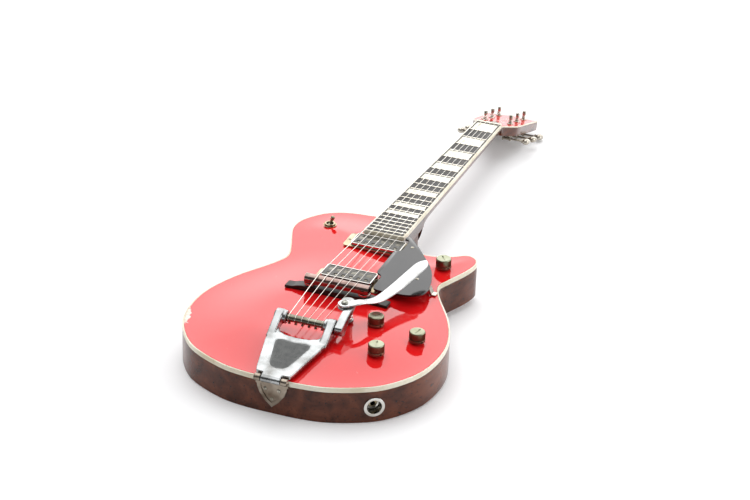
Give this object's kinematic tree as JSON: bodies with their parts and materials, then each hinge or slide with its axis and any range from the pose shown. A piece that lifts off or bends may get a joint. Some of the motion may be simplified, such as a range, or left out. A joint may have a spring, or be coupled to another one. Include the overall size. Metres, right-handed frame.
{
  "type": "electric guitar",
  "caption": "Single-cutaway electric guitar with arched top, pickups, floating bridge, working controls, geared tuners and a rocking vibrato tailpiece with a swinging arm.",
  "frame": {"origin": "on the flat back of the body, on the centre line, straight under the bridge end of the scale length", "axes": "+X to the treble side, +Y from the bridge to the headstock, +Z from the back through the top"},
  "size_m": [0.3368, 0.9944, 0.1189],
  "materials": {
    "core": "brown lacquered mahogany",
    "top": "gloss red lacquer over an arched wooden top",
    "neck": "brown lacquered mahogany",
    "head_face": "gloss red lacquer",
    "ebony": "oiled ebony",
    "binding": "aged cream binding",
    "bone": "polished bone",
    "black_plastic": "polished black",
    "coil": "black coil top",
    "chrome": "polished plate",
    "cast": "polished casting",
    "nickel": "aged nickel plate over brass",
    "steel": "plain steel"
  },
  "bodies": {
    "root": {"body_core": "core", "body_top": "top", "body_binding": "binding", "neck": "neck", "fingerboard": "ebony", "fingerboard_binding": "binding", "nut": "bone", "headstock_face": "head_face", "truss_rod": "steel", "pickguard": "black_plastic", "pickguard_bracket": "nickel", "neck_pickup_housing": "chrome", "neck_pickup_coil": "coil", "bridge_pickup_housing": "chrome", "bridge_pickup_coil": "coil", "bridge_base": "ebony", "tail_bracket": "cast", "vibrato_frame": "cast", "vibrato_spring": "steel", "jack_cup": "chrome", "jack_socket": "nickel", "volume_neck_pot": "steel", "volume_bridge_pot": "steel", "tone_pot": "steel", "master_pot": "steel", "switch_body": "nickel", "control_cover": "black_plastic", "switch_cover": "black_plastic", "tuner_plate_bass": "nickel", "tuner_plate_treble": "nickel", "string_low_e": "steel", "string_a": "steel", "string_d": "steel", "string_g": "steel", "string_b": "steel", "string_high_e": "steel"},
    "bridge_bar": {"bridge_bar": "chrome"},
    "bridge_wheel_bass": {"bridge_wheel_bass": "nickel"},
    "bridge_wheel_treble": {"bridge_wheel_treble": "nickel"},
    "string_bar": {"string_bar": "steel", "rocker": "cast"},
    "vibrato_arm": {"vibrato_arm": "cast", "arm_bolt": "steel"},
    "switch_lever": {"switch_lever": "nickel"},
    "volume_neck_knob": {"volume_neck_knob": "nickel"},
    "volume_bridge_knob": {"volume_bridge_knob": "nickel"},
    "tone_knob": {"tone_knob": "nickel"},
    "master_knob": {"master_knob": "nickel"},
    "tuner_post_low_e": {"tuner_post_low_e": "nickel"},
    "tuner_key_low_e": {"tuner_key_low_e": "nickel"},
    "tuner_post_a": {"tuner_post_a": "nickel"},
    "tuner_key_a": {"tuner_key_a": "nickel"},
    "tuner_post_d": {"tuner_post_d": "nickel"},
    "tuner_key_d": {"tuner_key_d": "nickel"},
    "tuner_post_g": {"tuner_post_g": "nickel"},
    "tuner_key_g": {"tuner_key_g": "nickel"},
    "tuner_post_b": {"tuner_post_b": "nickel"},
    "tuner_key_b": {"tuner_key_b": "nickel"},
    "tuner_post_high_e": {"tuner_post_high_e": "nickel"},
    "tuner_key_high_e": {"tuner_key_high_e": "nickel"}
  },
  "joints": [
    {"name": "bridge_bar_lift", "type": "slide", "parent": "root", "child": "bridge_bar", "axis": [0, 0, 1], "range_m": [-0.001, 0]},
    {"name": "bridge_wheel_bass_turn", "type": "hinge", "parent": "bridge_bar", "child": "bridge_wheel_bass", "pos_m": [-0.037, -0.003, 0.0673], "axis": [0, 0, 1], "range_deg": [-460, 10]},
    {"name": "bridge_wheel_treble_turn", "type": "hinge", "parent": "bridge_bar", "child": "bridge_wheel_treble", "pos_m": [0.037, -0.003, 0.0673], "axis": [0, 0, 1], "range_deg": [-460, 10]},
    {"name": "string_bar_rock", "type": "hinge", "parent": "root", "child": "string_bar", "pos_m": [0, -0.108, 0.0735], "axis": [1, 0, 0], "range_deg": [-6, 8], "stiffness_Nm_per_rad": 30, "deforming": ["vibrato_spring"]},
    {"name": "arm_swivel", "type": "hinge", "parent": "string_bar", "child": "vibrato_arm", "pos_m": [0.0385, -0.077, 0.088], "axis": [0, 0, 1], "range_deg": [-120, 8]},
    {"name": "switch_throw", "type": "hinge", "parent": "root", "child": "switch_lever", "pos_m": [-0.085, 0.1847, 0.05334], "axis": [0, 1, 0], "range_deg": [-36, 0]},
    {"name": "volume_neck_turn", "type": "hinge", "parent": "root", "child": "volume_neck_knob", "pos_m": [0.0723, -0.0548, 0.055], "axis": [0, 0, 1], "range_deg": [-150, 150]},
    {"name": "volume_bridge_turn", "type": "hinge", "parent": "root", "child": "volume_bridge_knob", "pos_m": [0.1306, -0.0646, 0.055], "axis": [0, 0, 1], "range_deg": [-150, 150]},
    {"name": "tone_turn", "type": "hinge", "parent": "root", "child": "tone_knob", "pos_m": [0.0966, -0.1181, 0.055], "axis": [0, 0, 1], "range_deg": [-150, 150]},
    {"name": "master_turn", "type": "hinge", "parent": "root", "child": "master_knob", "pos_m": [0.0962, 0.1349, 0.055], "axis": [0, 0, 1], "range_deg": [-150, 150]},
    {"name": "tuner_key_low_e_turn", "type": "hinge", "parent": "root", "child": "tuner_key_low_e", "pos_m": [0, 0.65881, 0.00605], "axis": [-1, 0, 0], "continuous": true},
    {"name": "tuner_post_low_e_turn", "type": "hinge", "parent": "root", "child": "tuner_post_low_e", "pos_m": [-0.0205, 0.67376, 0.02393], "axis": [0, 0.2957, 0.9553], "continuous": true},
    {"name": "tuner_key_a_turn", "type": "hinge", "parent": "root", "child": "tuner_key_a", "pos_m": [0, 0.69606, -0.00548], "axis": [-1, 0, 0], "continuous": true},
    {"name": "tuner_post_a_turn", "type": "hinge", "parent": "root", "child": "tuner_post_a", "pos_m": [-0.0205, 0.71102, 0.0124], "axis": [0, 0.2957, 0.9553], "continuous": true},
    {"name": "tuner_key_d_turn", "type": "hinge", "parent": "root", "child": "tuner_key_d", "pos_m": [0, 0.73332, -0.01701], "axis": [-1, 0, 0], "continuous": true},
    {"name": "tuner_post_d_turn", "type": "hinge", "parent": "root", "child": "tuner_post_d", "pos_m": [-0.0205, 0.74828, 0.00086], "axis": [0, 0.2957, 0.9553], "continuous": true},
    {"name": "tuner_key_g_turn", "type": "hinge", "parent": "root", "child": "tuner_key_g", "pos_m": [0, 0.73332, -0.01701], "axis": [1, 0, 0], "continuous": true},
    {"name": "tuner_post_g_turn", "type": "hinge", "parent": "root", "child": "tuner_post_g", "pos_m": [0.0205, 0.74828, 0.00086], "axis": [0, 0.2957, 0.9553], "continuous": true},
    {"name": "tuner_key_b_turn", "type": "hinge", "parent": "root", "child": "tuner_key_b", "pos_m": [0, 0.69606, -0.00548], "axis": [1, 0, 0], "continuous": true},
    {"name": "tuner_post_b_turn", "type": "hinge", "parent": "root", "child": "tuner_post_b", "pos_m": [0.0205, 0.71102, 0.0124], "axis": [0, 0.2957, 0.9553], "continuous": true},
    {"name": "tuner_key_high_e_turn", "type": "hinge", "parent": "root", "child": "tuner_key_high_e", "pos_m": [0, 0.65881, 0.00605], "axis": [1, 0, 0], "continuous": true},
    {"name": "tuner_post_high_e_turn", "type": "hinge", "parent": "root", "child": "tuner_post_high_e", "pos_m": [0.0205, 0.67376, 0.02393], "axis": [0, 0.2957, 0.9553], "continuous": true}
  ],
  "couplings": [
    {"joint": "bridge_wheel_bass_turn", "follows": "bridge_bar_lift", "rad_per_m": 7854},
    {"joint": "bridge_wheel_treble_turn", "follows": "bridge_bar_lift", "rad_per_m": 7854},
    {"joint": "tuner_post_low_e_turn", "follows": "tuner_key_low_e_turn", "ratio": 0.071429},
    {"joint": "tuner_post_a_turn", "follows": "tuner_key_a_turn", "ratio": 0.071429},
    {"joint": "tuner_post_d_turn", "follows": "tuner_key_d_turn", "ratio": 0.071429},
    {"joint": "tuner_post_g_turn", "follows": "tuner_key_g_turn", "ratio": 0.071429},
    {"joint": "tuner_post_b_turn", "follows": "tuner_key_b_turn", "ratio": 0.071429},
    {"joint": "tuner_post_high_e_turn", "follows": "tuner_key_high_e_turn", "ratio": 0.071429}
  ]
}
